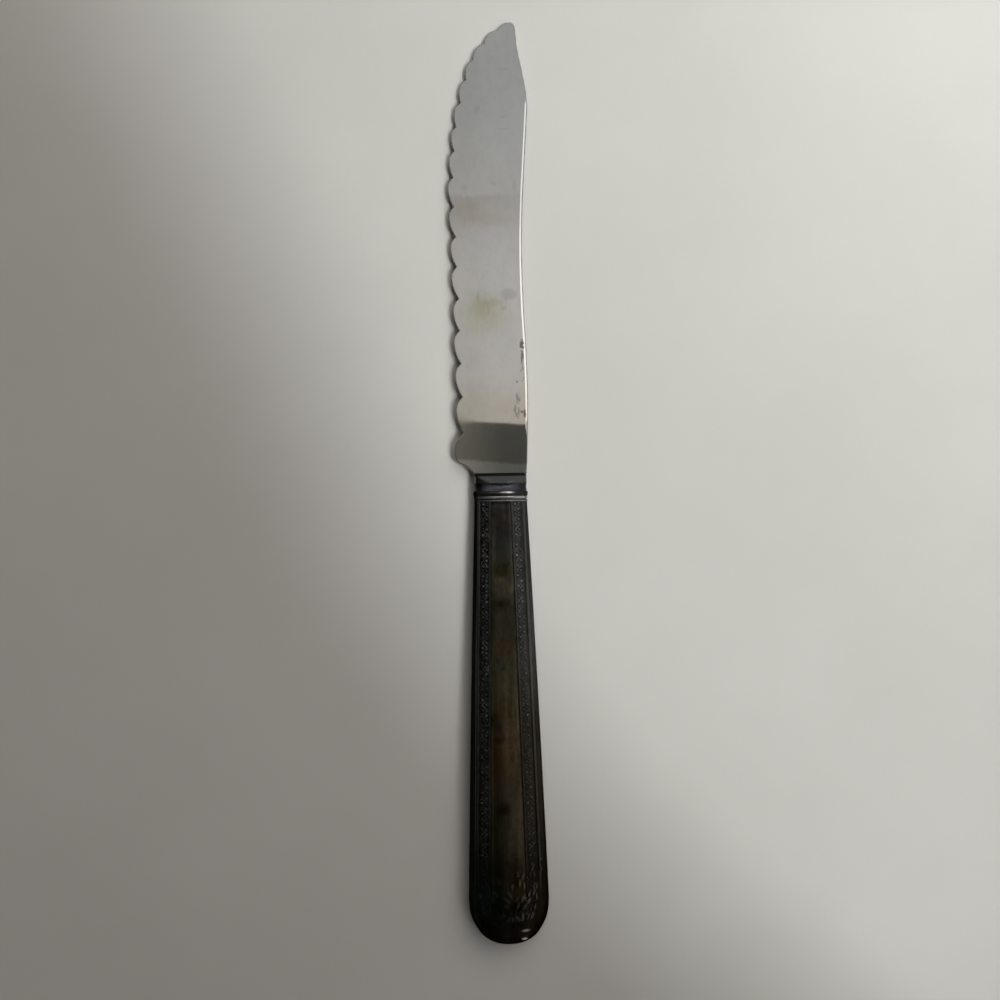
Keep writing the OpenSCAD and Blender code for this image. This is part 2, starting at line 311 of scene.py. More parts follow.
def handle_material():
    m = Tree("handle_tarnished_plate")
    x, y, z = m.axis()
    y = m.math("MULTIPLY_ADD", y, 1.018, 0.00008)      # lengths are taken on the middle plane, below the surface
    relief, hollow, panel, side, vine = (m.attr(k) for k in ("relief", "hollow", "panel", "side", "vine"))
    broad = m.noise(95, 4, 0.6, m.scaled((1, 0.40, 1), (0.2, 0.37, 0)))
    streak = m.noise(900, 3, 0.6, m.scaled((1, 0.045, 1)))
    spots = m.noise(330, 4, 0.65, m.scaled((1, 0.6, 1), (0.3, 0.1, 0.7)))
    rag = m.noise(520, 4, 0.6, m.scaled((1, 0.45, 1), (0.5, 0.8, 0)))
    tone = m.math("ADD", m.math("MULTIPLY", broad, 0.50), m.math("MULTIPLY", streak, 0.50))
    # Grey-black sulphide outside; darker and warmer towards the butt, a painted shade where the butt lies in shade
    grey = m.ramp(tone, [(0.34, (0.050, 0.050, 0.049)), (0.50, (0.085, 0.083, 0.079)), (0.66, (0.125, 0.122, 0.115))])
    grey = m.mix(m.step(y, -0.030, -0.105), grey, (0.62, 0.59, 0.52), "MULTIPLY")
    # The panel is worn by handling: greyish by the collar, then brown and olive
    brown = m.ramp(tone, [(0.34, (0.100, 0.078, 0.051)), (0.46, (0.165, 0.133, 0.091)), (0.56, (0.215, 0.178, 0.122)), (0.70, (0.280, 0.240, 0.170))])
    top = m.ramp(tone, [(0.34, (0.055, 0.052, 0.047)), (0.50, (0.110, 0.104, 0.093)), (0.68, (0.190, 0.182, 0.165))])
    brown = m.mix(m.step(y, -0.026, -0.014), brown, top)

    def blotch_and_sheen(col, x0, y0, rx, ry, tint, amount=1.0, soft=0.55):
        k = m.patch(x, y, x0 * MM, y0 * MM, rx * MM, ry * MM, rag, soft, 1.1)
        return m.mix(m.math("MULTIPLY", k, amount), col, tint, "MULTIPLY")

    # tarnish blotches; among them the pink spot at y -25.6 and the small pale streak at y -9.2 are painted highlights
    for args in ((-0.3, -10.4, 1.9, 2.4, (0.95, 0.82, 0.78)), (-0.4, -17.0, 1.4, 4.4, (0.78, 0.82, 0.84)), (-0.3, -23.1, 2.2, 2.0, (0.60, 0.55, 0.40)),
                 (-0.35, -25.6, 1.1, 0.6, (1.55, 1.35, 1.30)), (1.45, -28.7, 1.3, 1.8, (1.45, 1.45, 1.32)), (-0.6, -32.4, 2.3, 1.8, (0.78, 0.76, 0.62)),
                 (-0.6, -32.4, 0.8, 0.8, (0.42, 0.38, 0.30)), (0.3, -43.9, 2.4, 3.2, (1.0, 0.84, 0.74)), (0.9, -52.4, 2.4, 5.0, (1.25, 1.25, 1.16)),
                 (0.0, -60.7, 3.0, 2.0, (1.22, 1.16, 0.82)), (-2.7, -63.2, 1.3, 2.4, (0.60, 0.50, 0.34)), (-1.8, -68.4, 1.1, 0.8, (0.55, 0.47, 0.35)),
                 (-2.9, -75.6, 2.1, 6.6, (0.92, 0.70, 0.52)), (1.4, -71.0, 2.3, 7.6, (1.40, 1.32, 1.05)), (-0.8, -86.8, 1.6, 1.7, (0.50, 0.38, 0.30)),
                 (2.2, -86.0, 1.5, 3.5, (1.15, 1.15, 1.18)), (-3.2, -8.2, 0.9, 1.3, (0.62, 0.60, 0.58)), (0.9, -9.2, 0.25, 0.9, (1.7, 1.65, 1.5))):
        brown = blotch_and_sheen(brown, *args)
    # the first two are pale streaks down the panel's sides, painted reflections
    for args in ((-2.4, -14.0, 0.8, 6.5, (1.40, 1.40, 1.40)), (2.4, -13.5, 0.8, 6.5, (1.40, 1.38, 1.34)), (0.6, -68.4, 3.2, 4.0, (1.22, 1.08, 1.12))):
        brown = blotch_and_sheen(brown, *args)
    brown = m.mix(m.window(y, -0.043, -0.037, -0.033, -0.026), brown, (0.70, 0.70, 0.71), "MULTIPLY")
    brown = m.mix(m.step(y, -0.036, -0.045), brown, (1.12, 1.06, 0.98), "MULTIPLY")
    brown = m.mix(m.window(y, -0.056, -0.050, -0.042, -0.037), brown, (0.82, 0.89, 0.92), "MULTIPLY")
    brown = m.mix(m.window(y, -0.017, -0.013, -0.0075, -0.005), brown, (0.78, 0.78, 0.78), "MULTIPLY")
    mottle = m.noise(1150, 4, 0.7, m.scaled((1, 0.55, 1), (0.9, 0.3, 0)))
    brown = m.mix(m.step(mottle, 0.40, 0.66, 0.0, 0.85), brown, (0.72, 0.68, 0.60), "MULTIPLY")
    # the lower left of the panel is darker
    low = m.math("MULTIPLY", m.step(y, -0.076, -0.088), m.step(m.math("ADD", x, m.math("MULTIPLY", rag, 0.0015)), 0.0006, -0.0010))
    brown = m.mix(low, brown, (0.55, 0.57, 0.47), "MULTIPLY")
    half_ = m.mix(m.step(x, 0.0010, -0.0010), (0.80, 0.74, 0.61), (1.40, 1.45, 1.35))
    grey = m.mix(m.step(y, -0.030, -0.066), grey, half_, "MULTIPLY")
    # the outer right side is painted paler here, a painted reflection of the bright floor on the right
    painted_right_sheen = m.math("MULTIPLY", m.step(x, 0.0060, 0.0066), m.window(y, -0.066, -0.050, -0.036, -0.020))
    grey = m.mix(painted_right_sheen, grey, (1.55, 1.55, 1.55), "MULTIPLY")
    color = m.mix(panel, grey, brown)
    # a dark brown line of grime runs down both sides of the panel
    grime = m.math("MULTIPLY", m.math("MULTIPLY", panel, m.math("SUBTRACT", 1.0, panel)), m.step(rag, 0.30, 0.60, 1.6, 3.6))
    color = m.mix(grime, color, (0.030, 0.022, 0.012))
    # the butt is painted blacker, a painted shade, with an olive cast on the right and a blue one on the left
    butt_ = m.step(y, -0.094, -0.106)
    blue = m.mix(m.step(y, -0.1035, -0.1095), (0.56, 0.59, 0.54), (0.48, 0.80, 0.79))
    blue = m.mix(m.step(y, -0.1135, -0.1190), blue, (0.40, 0.34, 0.31))
    cast = m.mix(m.step(x, 0.0010, -0.0016), m.mix(m.step(x, 0.0030, 0.0075), (0.55, 0.51, 0.40), (0.34, 0.31, 0.23)), blue)
    color = m.mix(butt_, color, cast, "MULTIPLY")
    color = m.mix(m.math("MULTIPLY", m.step(spots, 0.56, 0.70), 0.55), color, (0.020, 0.017, 0.013))
    # Raised work is rubbed lighter and hollows hold black tarnish; on the butt the leaves are painted lighter right of
    # the middle and darker left of it, a painted highlight and painted shade, and the flanks, the left one most, are
    # painted near-black, a painted shade
    wear_and_sheen = m.mix(m.step(y, -0.020, -0.095), (0.105, 0.102, 0.096), (0.070, 0.066, 0.057))
    # on the butt, leaves right of the middle are painted lighter: a painted highlight
    leafy = m.math("MULTIPLY", m.step(y, -0.0955, -0.0985), m.step(x, -0.0045, 0.0010, 0.15, 1.0))
    wear_and_sheen = m.mix(leafy, wear_and_sheen, m.mix(m.step(y, -0.106, -0.1115), (0.090, 0.083, 0.069), (0.126, 0.119, 0.104)))
    # left of the middle the raised work is made lighter along the bands and painted darker on the butt, a painted shade
    wear_and_sheen = m.mix(m.step(x, 0.0010, -0.0035), wear_and_sheen, m.mix(m.step(y, -0.090, -0.099), (1.80, 1.95, 1.88), (0.45, 0.58, 0.58)), "MULTIPLY")
    color = m.mix(m.math("MULTIPLY", relief, m.step(spots, 0.30, 0.62, 0.30, 0.80)), color, wear_and_sheen)
    # the bands' vine: bright high points in the left band, duller in the right one
    vine_l = m.mix(m.step(y, -0.010, -0.070), (1.0, 0.98, 0.93), (0.70, 0.68, 0.55))
    vine_r = m.mix(m.step(y, -0.010, -0.070), (0.56, 0.55, 0.53), (0.23, 0.21, 0.16))
    vine_c = m.mix(m.step(x, 0.0010, -0.0010), vine_r, vine_l)
    kept = m.math("MULTIPLY", m.step(mottle, 0.36, 0.60, 0.10, 1.0), m.step(spots, 0.36, 0.60, 0.35, 1.0))
    color = m.mix(m.math("MULTIPLY", vine, kept), color, vine_c)
    color = m.mix(m.window(y, -0.0036, -0.0034, -0.0022, -0.0020), color, (0.60, 0.60, 0.60), "MULTIPLY")
    # the collar's fillets are painted paler, more to the right: kept plate and a painted highlight. A pale patch on the
    # bead's crest is a painted highlight, and two pale patches on the butt are painted glints, in which the low lamps
    # also shine
    collar_ = m.math("ADD", m.window(y, -0.00426, -0.00408, -0.00362, -0.00344), m.math("MULTIPLY", m.window(y, -0.00490, -0.00480, -0.00460, -0.00450), 0.6))
    color = m.mix(m.math("MULTIPLY", collar_, m.step(x, -0.0075, 0.0030, 0.40, 0.95)), color, (0.50, 0.495, 0.47))
    painted_glints = m.patch(x, y, 1.75 * MM, -2.55 * MM, 1.7 * MM, 0.42 * MM, rag, 0.5, 0.6)
    painted_glints = m.math("MAXIMUM", painted_glints, m.math("MULTIPLY", m.patch(x, y, 4.25 * MM, -119.25 * MM, 0.95 * MM, 0.40 * MM, rag, 0.5, 0.6), 0.38))
    painted_glints = m.math("MAXIMUM", painted_glints, m.patch(x, y, 3.95 * MM, -121.95 * MM, 0.72 * MM, 0.40 * MM, rag, 0.4, 0.4))
    color = m.mix(m.math("MULTIPLY", painted_glints, 0.92), color, m.mix(m.step(y, -0.060, -0.110), (0.50, 0.49, 0.46), (0.93, 0.92, 0.88)))
    # black tarnish in the hollows; the left band's ground is painted blacker than the right one's, a painted shade,
    # most of all by the collar
    ground = m.math("MULTIPLY", m.step(x, 0.0010, -0.0010, 0.60, 0.985), m.step(y, -0.048, -0.012, 0.84, 1.0))
    ground = m.math("MULTIPLY", ground, m.step(m.noise(1000, 3, 0.65, m.scaled((1, 0.60, 1), (0.2, 0.6, 0))), 0.36, 0.58, 0.40, 1.0))
    color = m.mix(m.math("MULTIPLY", hollow, ground), color, (0.006, 0.0057, 0.005))
    # the flanks are painted near-black and dull, the left one most: a painted shade, for the dark floor the left side
    # mirrors
    flank = m.math("MULTIPLY", side, m.step(x, 0.002, -0.002, 0.40, 0.95))
    color = m.mix(flank, color, m.mix(m.step(x, 0.002, -0.002), (0.008, 0.0080, 0.0070), m.mix(m.step(y, -0.022, -0.042), (0.0026, 0.0029, 0.0022), (0.0095, 0.0085, 0.0062))))
    rough = m.math("ADD", m.step(tone, 0.3, 0.7, 0.20, 0.145), m.math("MULTIPLY", hollow, 0.22))
    rough = m.math("ADD", rough, m.step(spots, 0.5, 0.75, 0.0, 0.06))
    rough = m.math("ADD", rough, m.math("MULTIPLY", m.math("SUBTRACT", 1.0, panel), 0.06))
    rough = m.math("SUBTRACT", rough, m.math("MULTIPLY", painted_glints, 0.09))
    height = m.math("ADD", m.math("MULTIPLY", spots, 0.5), m.math("MULTIPLY", streak, 0.4))
    metal = m.math("SUBTRACT", 0.93, m.math("MULTIPLY", flank, 0.93))
    return m.surface(color, rough, metal, m.bump(height, 0.12, 0.00006), Specular_IOR_Level=0.0, Specular_Tint=(0.3, 0.3, 0.3, 1))


def bolster_material():
    m = Tree("bolster_plate")
    broad = m.noise(220, 3, 0.55)
    fine = m.noise(1500, 3, 0.6, m.scaled((0.2, 1, 1)))
    x, y, z = m.axis()
    neck = m.ramp(broad, [(0.30, (0.048, 0.048, 0.054)), (0.52, (0.085, 0.085, 0.094)), (0.70, (0.130, 0.130, 0.142))])
    # the neck goes near-black at both ends, the left end most
    ends = m.math("MAXIMUM", m.step(x, -0.0042, -0.0055), m.math("MULTIPLY", m.step(x, 0.0038, 0.0056), 0.6))
    neck = m.mix(m.math("MULTIPLY", ends, 0.92), neck, (0.016, 0.014, 0.012))
    plane_ = m.ramp(broad, [(0.30, (0.098, 0.098, 0.095)), (0.70, (0.124, 0.124, 0.120))])
    color = m.mix(m.step(y, -0.00015, 0.00015), neck, plane_)
    # black tarnish in the corner by the blade, with painted shade there
    color = m.mix(m.step(y, 0.00165, 0.00200), color, (0.012, 0.012, 0.011))
    rough = m.math("ADD", m.step(fine, 0.3, 0.7, 0.14, 0.20), m.step(y, 0.00015, -0.00015, 0.0, 0.12))
    return m.surface(color, rough, 0.95, m.bump(m.math("ADD", fine, broad), 0.10, 0.00005))


def solder_material():
    m = Tree("solder_dark")
    n = m.noise(1400, 4, 0.6)
    color = m.ramp(n, [(0.35, (0.006, 0.006, 0.0055)), (0.65, (0.022, 0.021, 0.019))])
    return m.surface(color, m.step(n, 0.3, 0.7, 0.45, 0.65), 0.8, m.bump(n, 0.3, 0.00008))


def cement_material():
    m = Tree("tang_cement")
    n = m.noise(700, 5, 0.65)
    color = m.ramp(n, [(0.35, (0.27, 0.23, 0.17)), (0.65, (0.42, 0.37, 0.29))])
    return m.surface(color, m.step(n, 0.3, 0.7, 0.80, 0.95), 0.0, m.bump(n, 0.5, 0.0002))


def floor_material():
    m = Tree("floor_paper")
    n = m.noise(14, 4, 0.6)
    grain = m.noise(900, 3, 0.6)
    color = m.ramp(n, [(0.35, (0.700, 0.680, 0.640)), (0.65, (0.735, 0.715, 0.675))])
    return m.surface(color, m.step(grain, 0.3, 0.7, 0.62, 0.75), 0.0, m.bump(grain, 0.10, 0.0002))


STEEL = blade_material()
PLATE = handle_material()
NECK = bolster_material()
SOLDER = solder_material()
CEMENT = cement_material()

# ------------------------------------------------------------------ blade
BLADE_T = 0.70          # half thickness
SPINE = [(7.1, 0), (7.5, 8), (7.8, 20), (7.6, 33), (7.1, 46), (7.0, 60), (7.5, 73), (8.4, 86), (9.0, 94.5),
         (9.2, 98), (9.0, 100.5), (8.6, 103.5), (7.9, 107.5), (7.1, 111.5), (6.7, 114), (6.5, 117), (6.2, 118.9),
         (5.6, 119.8), (4.6, 120)]
NOTCHES = [(1.5, 118), (-2.0, 114.5), (-5.1, 110.2), (-7.0, 104.9), (-8.6, 98.8), (-9.9, 92.4), (-10.5, 86),
           (-11.0, 79), (-11.0, 71.2), (-10.6, 63.2), (-10.5, 55.2), (-10.1, 46.7), (-10.1, 38.2), (-9.9, 29.4),
           (-9.7, 20.5), (-9.6, 11)]
CHOIL = [(-9.6, 11), (-10.7, 9.6), (-11.4, 8.7), (-11.79, 7.6), (-11.88, 5.6), (-11.79, 4.3), (-11.5, 3.7),
         (-10.7, 2.9), (-9.2, 2.2), (-8.2, 1.4), (-7.5, 0.7), (-7.1, 0)]


def blade():
    pts, kind = [], []

    def add(ps, k):
        pts.extend(ps)
        kind.extend([k] * len(ps))

    sp = catmull(SPINE, 10)
    add(sp[:93], 0.0)
    add(sp[93:], 4.0)
    add(lobe((4.6, 120), NOTCHES[0], 0.13, 0.45, 16), 1.0)
    for i in range(len(NOTCHES) - 1):
        add(lobe(NOTCHES[i], NOTCHES[i + 1], 0.1792, 0.5 + (0.36 - 0.5) * min(1, i / 4), 30), 1.0)
    add(catmull(CHOIL, 8), 2.0)
    add([np.array((-7.1, 0.0))], 3.0)
    pts = np.array(pts) * np.array([1.0, BLADE_LEN / 120])
    kind = np.array(kind)
    kind[0] = 3.0
    n = len(pts)
    # inward normals, mitred
    e = np.roll(pts, -1, 0) - pts
    e /= np.linalg.norm(e, axis=1)[:, None]
    left = np.stack([-e[:, 1], e[:, 0]], 1)
    prev = np.roll(left, 1, 0)
    nor = left + prev
    nor /= np.linalg.norm(nor, axis=1)[:, None]
    nor /= np.clip((nor * left).sum(1), 0.45, 1)[:, None]
    # Rounded edges: radius on the spine, cutting edge, choil, root and clipped point
    phi = np.radians([88, 68, 50, 36, 25, 16, 9, 3, 0])
    rounds = len(phi)
    sections = np.array([[(r * (1 - math.sin(q)), BLADE_T - r * (1 - math.cos(q))) for q in phi]
                         for r in (0.34, 0.26, 0.30, 0.06, 0.12)])
    # the spine is rolled: nearly flat at first, then quickly round
    roll = np.array([0.0, 0.008, 0.025, 0.05, 0.08, 0.14, 0.28, 0.66, 0.76])
    drop = np.diff(roll) * np.tan((phi[1:] + phi[:-1]) / 2)
    sections[0] = np.stack([roll, BLADE_T - np.append(np.cumsum(drop[::-1])[::-1], 0)], 1)
    weights = np.stack([(kind == k).astype(float) for k in range(5)], 1)
    for _ in range(6):
        weights = 0.5 * weights + 0.25 * np.roll(weights, 1, 0) + 0.25 * np.roll(weights, -1, 0)
    sec = np.einsum("nk,kjc->njc", weights, sections)
    root = np.where(np.arange(n) == 0, 1, 0) + np.where(np.arange(n) == n - 1, 1, 0)
    rings = []
    for j in range(rounds):
        p = pts + nor * sec[:, j, :1]
        p[:, 1] = np.maximum(p[:, 1], np.where(root > 0, sec[:, j, 0], p[:, 1]))
        rings.append(np.column_stack([p, sec[:, j, 1]]))
    top = rings
    bottom = [r * np.array([1, 1, -1]) for r in rings]
    verts = np.concatenate(bottom[::-1] + top)
    faces = []
    for j in range(2 * rounds - 1):
        for i in range(n):
            a, b = j * n + i, j * n + (i + 1) % n
            faces.append((a, b, b + n, a + n))
    # the two flats, as even triangles with points inside
    ring_xy = [Vector(v) for v in top[-1][:, :2].tolist()]
    inner_xy = [Vector((gx, gy)) for gy in np.arange(3.0, 117.0, 3.0) for gx in np.arange(-9.0, 8.0, 2.8)]
    flat, _, tris, _, _, _ = delaunay_2d_cdt(ring_xy + inner_xy, [(i, (i + 1) % n) for i in range(n)], [], 1, 1e-7)
    flat = np.array([tuple(v) for v in flat])
    for z, turn in ((BLADE_T, 1), (-BLADE_T, -1)):
        start = len(verts)
        verts = np.concatenate([verts, np.column_stack([flat, np.full(len(flat), z)])])
        faces += [tuple(start + i for i in (t if turn > 0 else t[::-1])) for t in tris]
    # tang, with broken edges and a rounded end
    w, t, l, c = 4.0, 0.6, 68.0, 0.15
    first = len(verts)
    ring = [(w, -t + c), (w, t - c), (w - c, t), (-w + c, t), (-w, t - c), (-w, -t + c), (-w + c, -t), (w - c, -t)]
    tang = []
    for yy, s in ((0.0, 1.0), (-l + 3.0, 1.0), (-l + 1.4, 0.90), (-l + 0.4, 0.68), (-l, 0.42)):
        tang += [(px * s, yy, pz) for px, pz in ring]
    for j in range(4):
        for i in range(8):
            a, b = first + j * 8 + i, first + j * 8 + (i + 1) % 8
            faces.append((a, a + 8, b + 8, b))
    faces.append(tuple(first + i for i in range(8)))
    faces.append(tuple(first + 32 + i for i in range(7, -1, -1)))
    verts = np.concatenate([verts, np.array(tang)])
    ob = make("blade_ground", verts, faces, [STEEL], "blade", smooth=True)
    # The flats stay flat: only the worked edges shade smoothly
    ob.data.set_sharp_from_angle(angle=math.radians(38))
    for p in ob.data.polygons:
        p.use_smooth = p.loop_total == 4 and max(p.vertices) < 2 * rounds * n
    return ob


# ------------------------------------------------------------------ handle
MOUTH_Y, BODY_Y, ROUND_LEN, POW_R, POW_S = -4.6, -8.1, 12.6, 2.3, 2.1
ROUND_Y = -HANDLE_LEN + ROUND_LEN
SEAM = 0.1
WALL = 0.8
BAND_END = -105.0


def body_s(y):
    return np.clip((BODY_Y - y) / (BODY_Y - ROUND_Y), 0, 1)


def half_w(y):
    s = body_s(y)
    return (14.0 + 7.3 * s + 1.2 * s * (1 - s)) / 2


def half_t(y):
    s = body_s(y)
    return (7.0 + 5.4 * s - 0.2 * s * (1 - s)) / 2


FLAT = math.radians(12)     # half of the flat panel, as an angle round the section


def section(frac):
    """Share of the half thickness at a share of the half width, and the two parts of its normal."""
    c = math.cos(FLAT) ** (2 / POW_S)
    f = np.clip(1 - np.abs(frac) ** POW_S, 0, 1) ** (1 / POW_S)
    g = f / c - 1
    root = np.sqrt(g * g + 0.012 ** 2)      # the panel runs softly into the rounded sides
    return np.clip(1 + 0.5 * (g - root), 0, 1), np.sign(frac) * np.abs(frac) ** (POW_S - 1) * 0.5 * (1 - g / root) / c, f ** (POW_S - 1)


def bead(y, top, length):
    q = (y - top + length / 2) / (length / 2)
    return np.sqrt(np.clip(1 - q * q, 0, 1))


def collar(y):
    """Offset of the bead, fillets and grooves round the mouth."""
    out = 0.25 * bead(y, MOUTH_Y, 1.3)
    out = out - 0.25 * smoothstep(MOUTH_Y - 0.12, MOUTH_Y, y)
    out = out + 0.06 * bead(y, -5.95, 0.75)
    out = out - 0.13 * bead(y, -6.68, 0.36)
    out = out + 0.07 * bead(y, -7.02, 0.36)
    return out


def band_in(y):
    return 3.15 + 0.0201 * (-9.6 - y)


def band_out(y):
    return 5.30 + 0.0255 * (-9.6 - y)


def dome(d, r, h):
    return h * np.sqrt(np.clip(1 - (d / r) ** 2, 0, 1))


def leaf(x, y, x0, y0, ang, length, width, h, bend=0.0):
    """A pointed leaf with a midrib, from (x0, y0) along ang."""
    c, s = math.cos(ang), math.sin(ang)
    u = ((x - x0) * c + (y - y0) * s) / length
    v = (-(x - x0) * s + (y - y0) * c) - bend * length * u * u
    half = width / 2 * np.sin(np.pi * np.clip(u, 0, 1) ** 0.75)
    inside = (u > 0) & (u < 1) & (half > 1e-6)
    q = np.where(inside, np.abs(v) / np.maximum(half, 1e-6), 2)
    body = h * np.sqrt(np.clip(1 - q * q, 0, 1))
    rib = 0.35 * h * np.exp(-(v / (0.12 * width)) ** 2) * inside
    return np.maximum(body - rib, 0)


def rosette(x, y, r, h, petals, turn=0.0):
    d = np.hypot(x, y)
    a = np.arctan2(y, x) + turn
    edge = r * (0.72 + 0.28 * np.abs(np.cos(a * petals / 2)))
    petal = h * np.sqrt(np.clip(1 - (d / edge) ** 2, 0, 1)) * (0.55 + 0.45 * np.abs(np.cos(a * petals / 2)))
    return np.maximum(petal * smoothstep(0.18 * r, 0.42 * r, d), dome(d, 0.30 * r, h * 1.05))


def ribbon(x, y, x0, y0, x1, y1, w, h):
    dx, dy = x1 - x0, y1 - y0
    t = np.clip(((x - x0) * dx + (y - y0) * dy) / (dx * dx + dy * dy), 0, 1)
    return dome(np.hypot(x - x0 - t * dx, y - y0 - t * dy), w / 2, h)


UNIT = 2.7


def band_relief(a, y):
    """Running vine: a waving stem, a flower in each bend, leaves and beads. a is mm from the band's middle."""
    b = (-7.4 - y) / UNIT
    wave = np.sin(2 * np.pi * b)
    lean = 0.50 * 2 * np.pi / UNIT * np.cos(2 * np.pi * b)
    h = dome((a - 0.50 * wave) / np.sqrt(1 + lean ** 2), 0.13, 0.14)
    # half waves: each one turned over from the last, and no two quite the same
    k = np.floor(2 * b)
    side = np.where(k % 2 == 0, 1.0, -1.0)
    u = (2 * b - k - 0.5) * UNIT / 2
    v = a * side
    r1, r2, r3 = uneven(k, 1.7), uneven(k, 4.1), uneven(k, 9.3)
    h = h * (0.6 + 0.4 * r3)
    h = np.maximum(h, rosette(u - 0.16 * (r2 - 0.5), v + 0.30 + 0.20 * r1, 0.36 + 0.16 * r2, 0.21, 5) * (0.55 + 0.45 * r1))
    for end in (-1, 1):
        h = np.maximum(h, leaf(u, v, 0.10 * end, 0.34 + 0.16 * r3, math.pi / 2 - end * 0.75, 0.70, 0.34, 0.17, 0.2 * end) * (0.5 + 0.5 * uneven(k, 5.9 + end)))
        h = np.maximum(h, dome(np.hypot(u - 0.52 * end, v + 0.92), 0.15, 0.14) * (0.4 + 0.6 * uneven(k, 7.7 + end)))
    return h


def uneven(k, seed):
    q = np.sin(k * 12.9898 + seed * 78.233) * 43758.5453
    return q - np.floor(q)


# Leaves of the butt's ornament: foot x, foot y, angle, length, width. A bunch in the middle, sprigs up both sides.
LEAVES = ((0.2, -113.9, 140, 2.7, 0.85), (-0.2, -114.8, 172, 2.4, 0.80), (0.6, -112.6, 118, 2.2, 0.75), (0.9, -110.6, 96, 2.0, 0.62),
          (1.8, -118.6, 88, 2.1, 0.90), (2.6, -118.9, 100, 1.7, 0.62), (3.4, -118.6, 86, 2.2, 0.85), (0.9, -118.8, 112, 1.7, 0.68),
          (3.2, -115.3, 36, 2.2, 0.85), (4.4, -114.4, 58, 2.2, 0.85), (5.4, -118.5, 57, 2.8, 1.00), (4.6, -118.4, 74, 1.9, 0.68),
          (6.6, -116.2, 70, 1.9, 0.62), (2.0, -115.2, 80, 2.2, 0.80), (3.0, -113.6, 62, 2.0, 0.75), (1.4, -113.6, 70, 1.8, 0.62),
          (6.2, -112.2, 62, 2.1, 0.75), (5.2, -112.4, 84, 1.9, 0.68), (7.2, -113.6, 82, 2.0, 0.62), (6.4, -110.6, 80, 1.9, 0.62),
          (7.4, -110.8, 88, 1.8, 0.58), (3.3, -107.6, 74, 1.7, 0.62), (2.6, -109.6, 80, 1.9, 0.64), (3.9, -110.2, 92, 1.9, 0.62),
          (4.8, -108.6, 86, 1.8, 0.58), (6.9, -104.8, 132, 1.6, 0.52), (5.9, -106.0, 60, 1.7, 0.52), (7.0, -107.6, 110, 1.8, 0.52),
          (5.4, -107.4, 70, 1.6, 0.52), (8.5, -103.9, 85, 1.4, 0.50), (8.6, -106.4, 92, 1.6, 0.50), (2.2, -107.0, 96, 1.5, 0.50),
          (-5.9, -117.6, 118, 2.0, 0.75), (-6.6, -115.8, 150, 1.5, 0.64), (-5.6, -116.4, 75, 1.8, 0.64), (-4.6, -119.4, 95, 1.3, 0.64),
          (-7.4, -113.5, 100, 1.8, 0.58), (-2.0, -117.6, 150, 1.8, 0.68), (-3.2, -116.2, 130, 1.9, 0.68), (-6.8, -103.2, 60, 1.4, 0.52),
          (-6.2, -103.2, 120, 1.4, 0.52), (-5.6, -105.4, 100, 1.7, 0.52), (-6.8, -107.0, 80, 1.8, 0.52), (-4.2, -109.5, 95, 1.9, 0.58),
          (-5.4, -111.0, 84, 1.8, 0.62), (-3.2, -112.6, 110, 1.9, 0.62), (-2.6, -109.0, 92, 1.6, 0.52), (-0.9, -117.2, 160, 1.6, 0.60))
BUDS = ((1.75, -115.9, 0.38), (2.9, -116.2, 0.32), (4.5, -116.5, 0.36), (0.3, -116.4, 0.32), (5.6, -115.6, 0.32), (-4.6, -114.3, 0.34),
        (-6.9, -110.0, 0.30), (4.3, -112.6, 0.30), (5.7, -109.4, 0.28), (-1.6, -115.8, 0.30))


def spray(x, y):
    """A bunch of overlapping leaves with buds and a flower, and sprigs that climb from it towards the bands."""
    y = y - 1.7
    h = np.zeros_like(x)
    for side in (-1, 1):
        stem = ((6.3, -104.4), (6.5, -107.4), (6.0, -110.6), (4.9, -113.6), (3.0, -116.6), (1.0, -118.4))
        for (x0, y0), (x1, y1) in zip(stem[:-1], stem[1:]):
            h = np.maximum(h, ribbon(x * side, y, x0, y0, x1, y1, 0.30, 0.07))
    for k, (x0, y0, ang, length, width) in enumerate(LEAVES):
        h = np.maximum(h, leaf(x, y, x0, y0, math.radians(ang), 1.08 * length, 1.22 * width, 0.19 + 0.04 * uneven(np.float64(k), 2.3), 0.14 * (-1) ** k))
    for x0, y0, r in BUDS:
        h = np.maximum(h, dome(np.hypot(x - x0, y - y0), r, 0.15))
    return np.maximum(h, rosette(x + 0.4, y + 118.0, 0.72, 0.17, 6))


FILLET_END = -110.0


